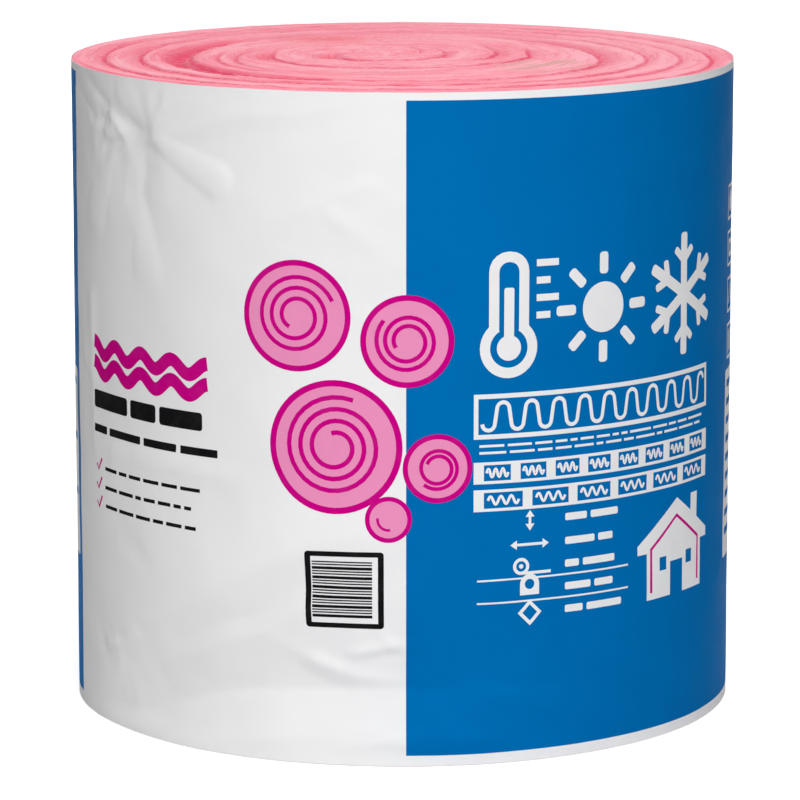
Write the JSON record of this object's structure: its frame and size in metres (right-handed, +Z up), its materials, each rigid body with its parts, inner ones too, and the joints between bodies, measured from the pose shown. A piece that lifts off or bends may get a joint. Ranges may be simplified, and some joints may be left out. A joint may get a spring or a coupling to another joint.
{
  "type": "insulation roll",
  "caption": "Blanket of pink glass wool rolled up tight, standing on its end in a printed film sleeve that is open at both ends.",
  "frame": {"origin": "centre of the lower end, on the surface that the roll stands on", "axes": "+Z up along the roll's axis, -Y towards the printed front, +X to the right seen from the front"},
  "size_m": [0.597, 0.597, 0.5842],
  "materials": {
    "glass_wool": "matte fibrous wool",
    "sleeve_film": "satin polyethylene film, printed in blue on white"
  },
  "bodies": {
    "root": {"wool_blanket": "glass_wool", "film_sleeve": "sleeve_film"}
  },
  "joints": []
}
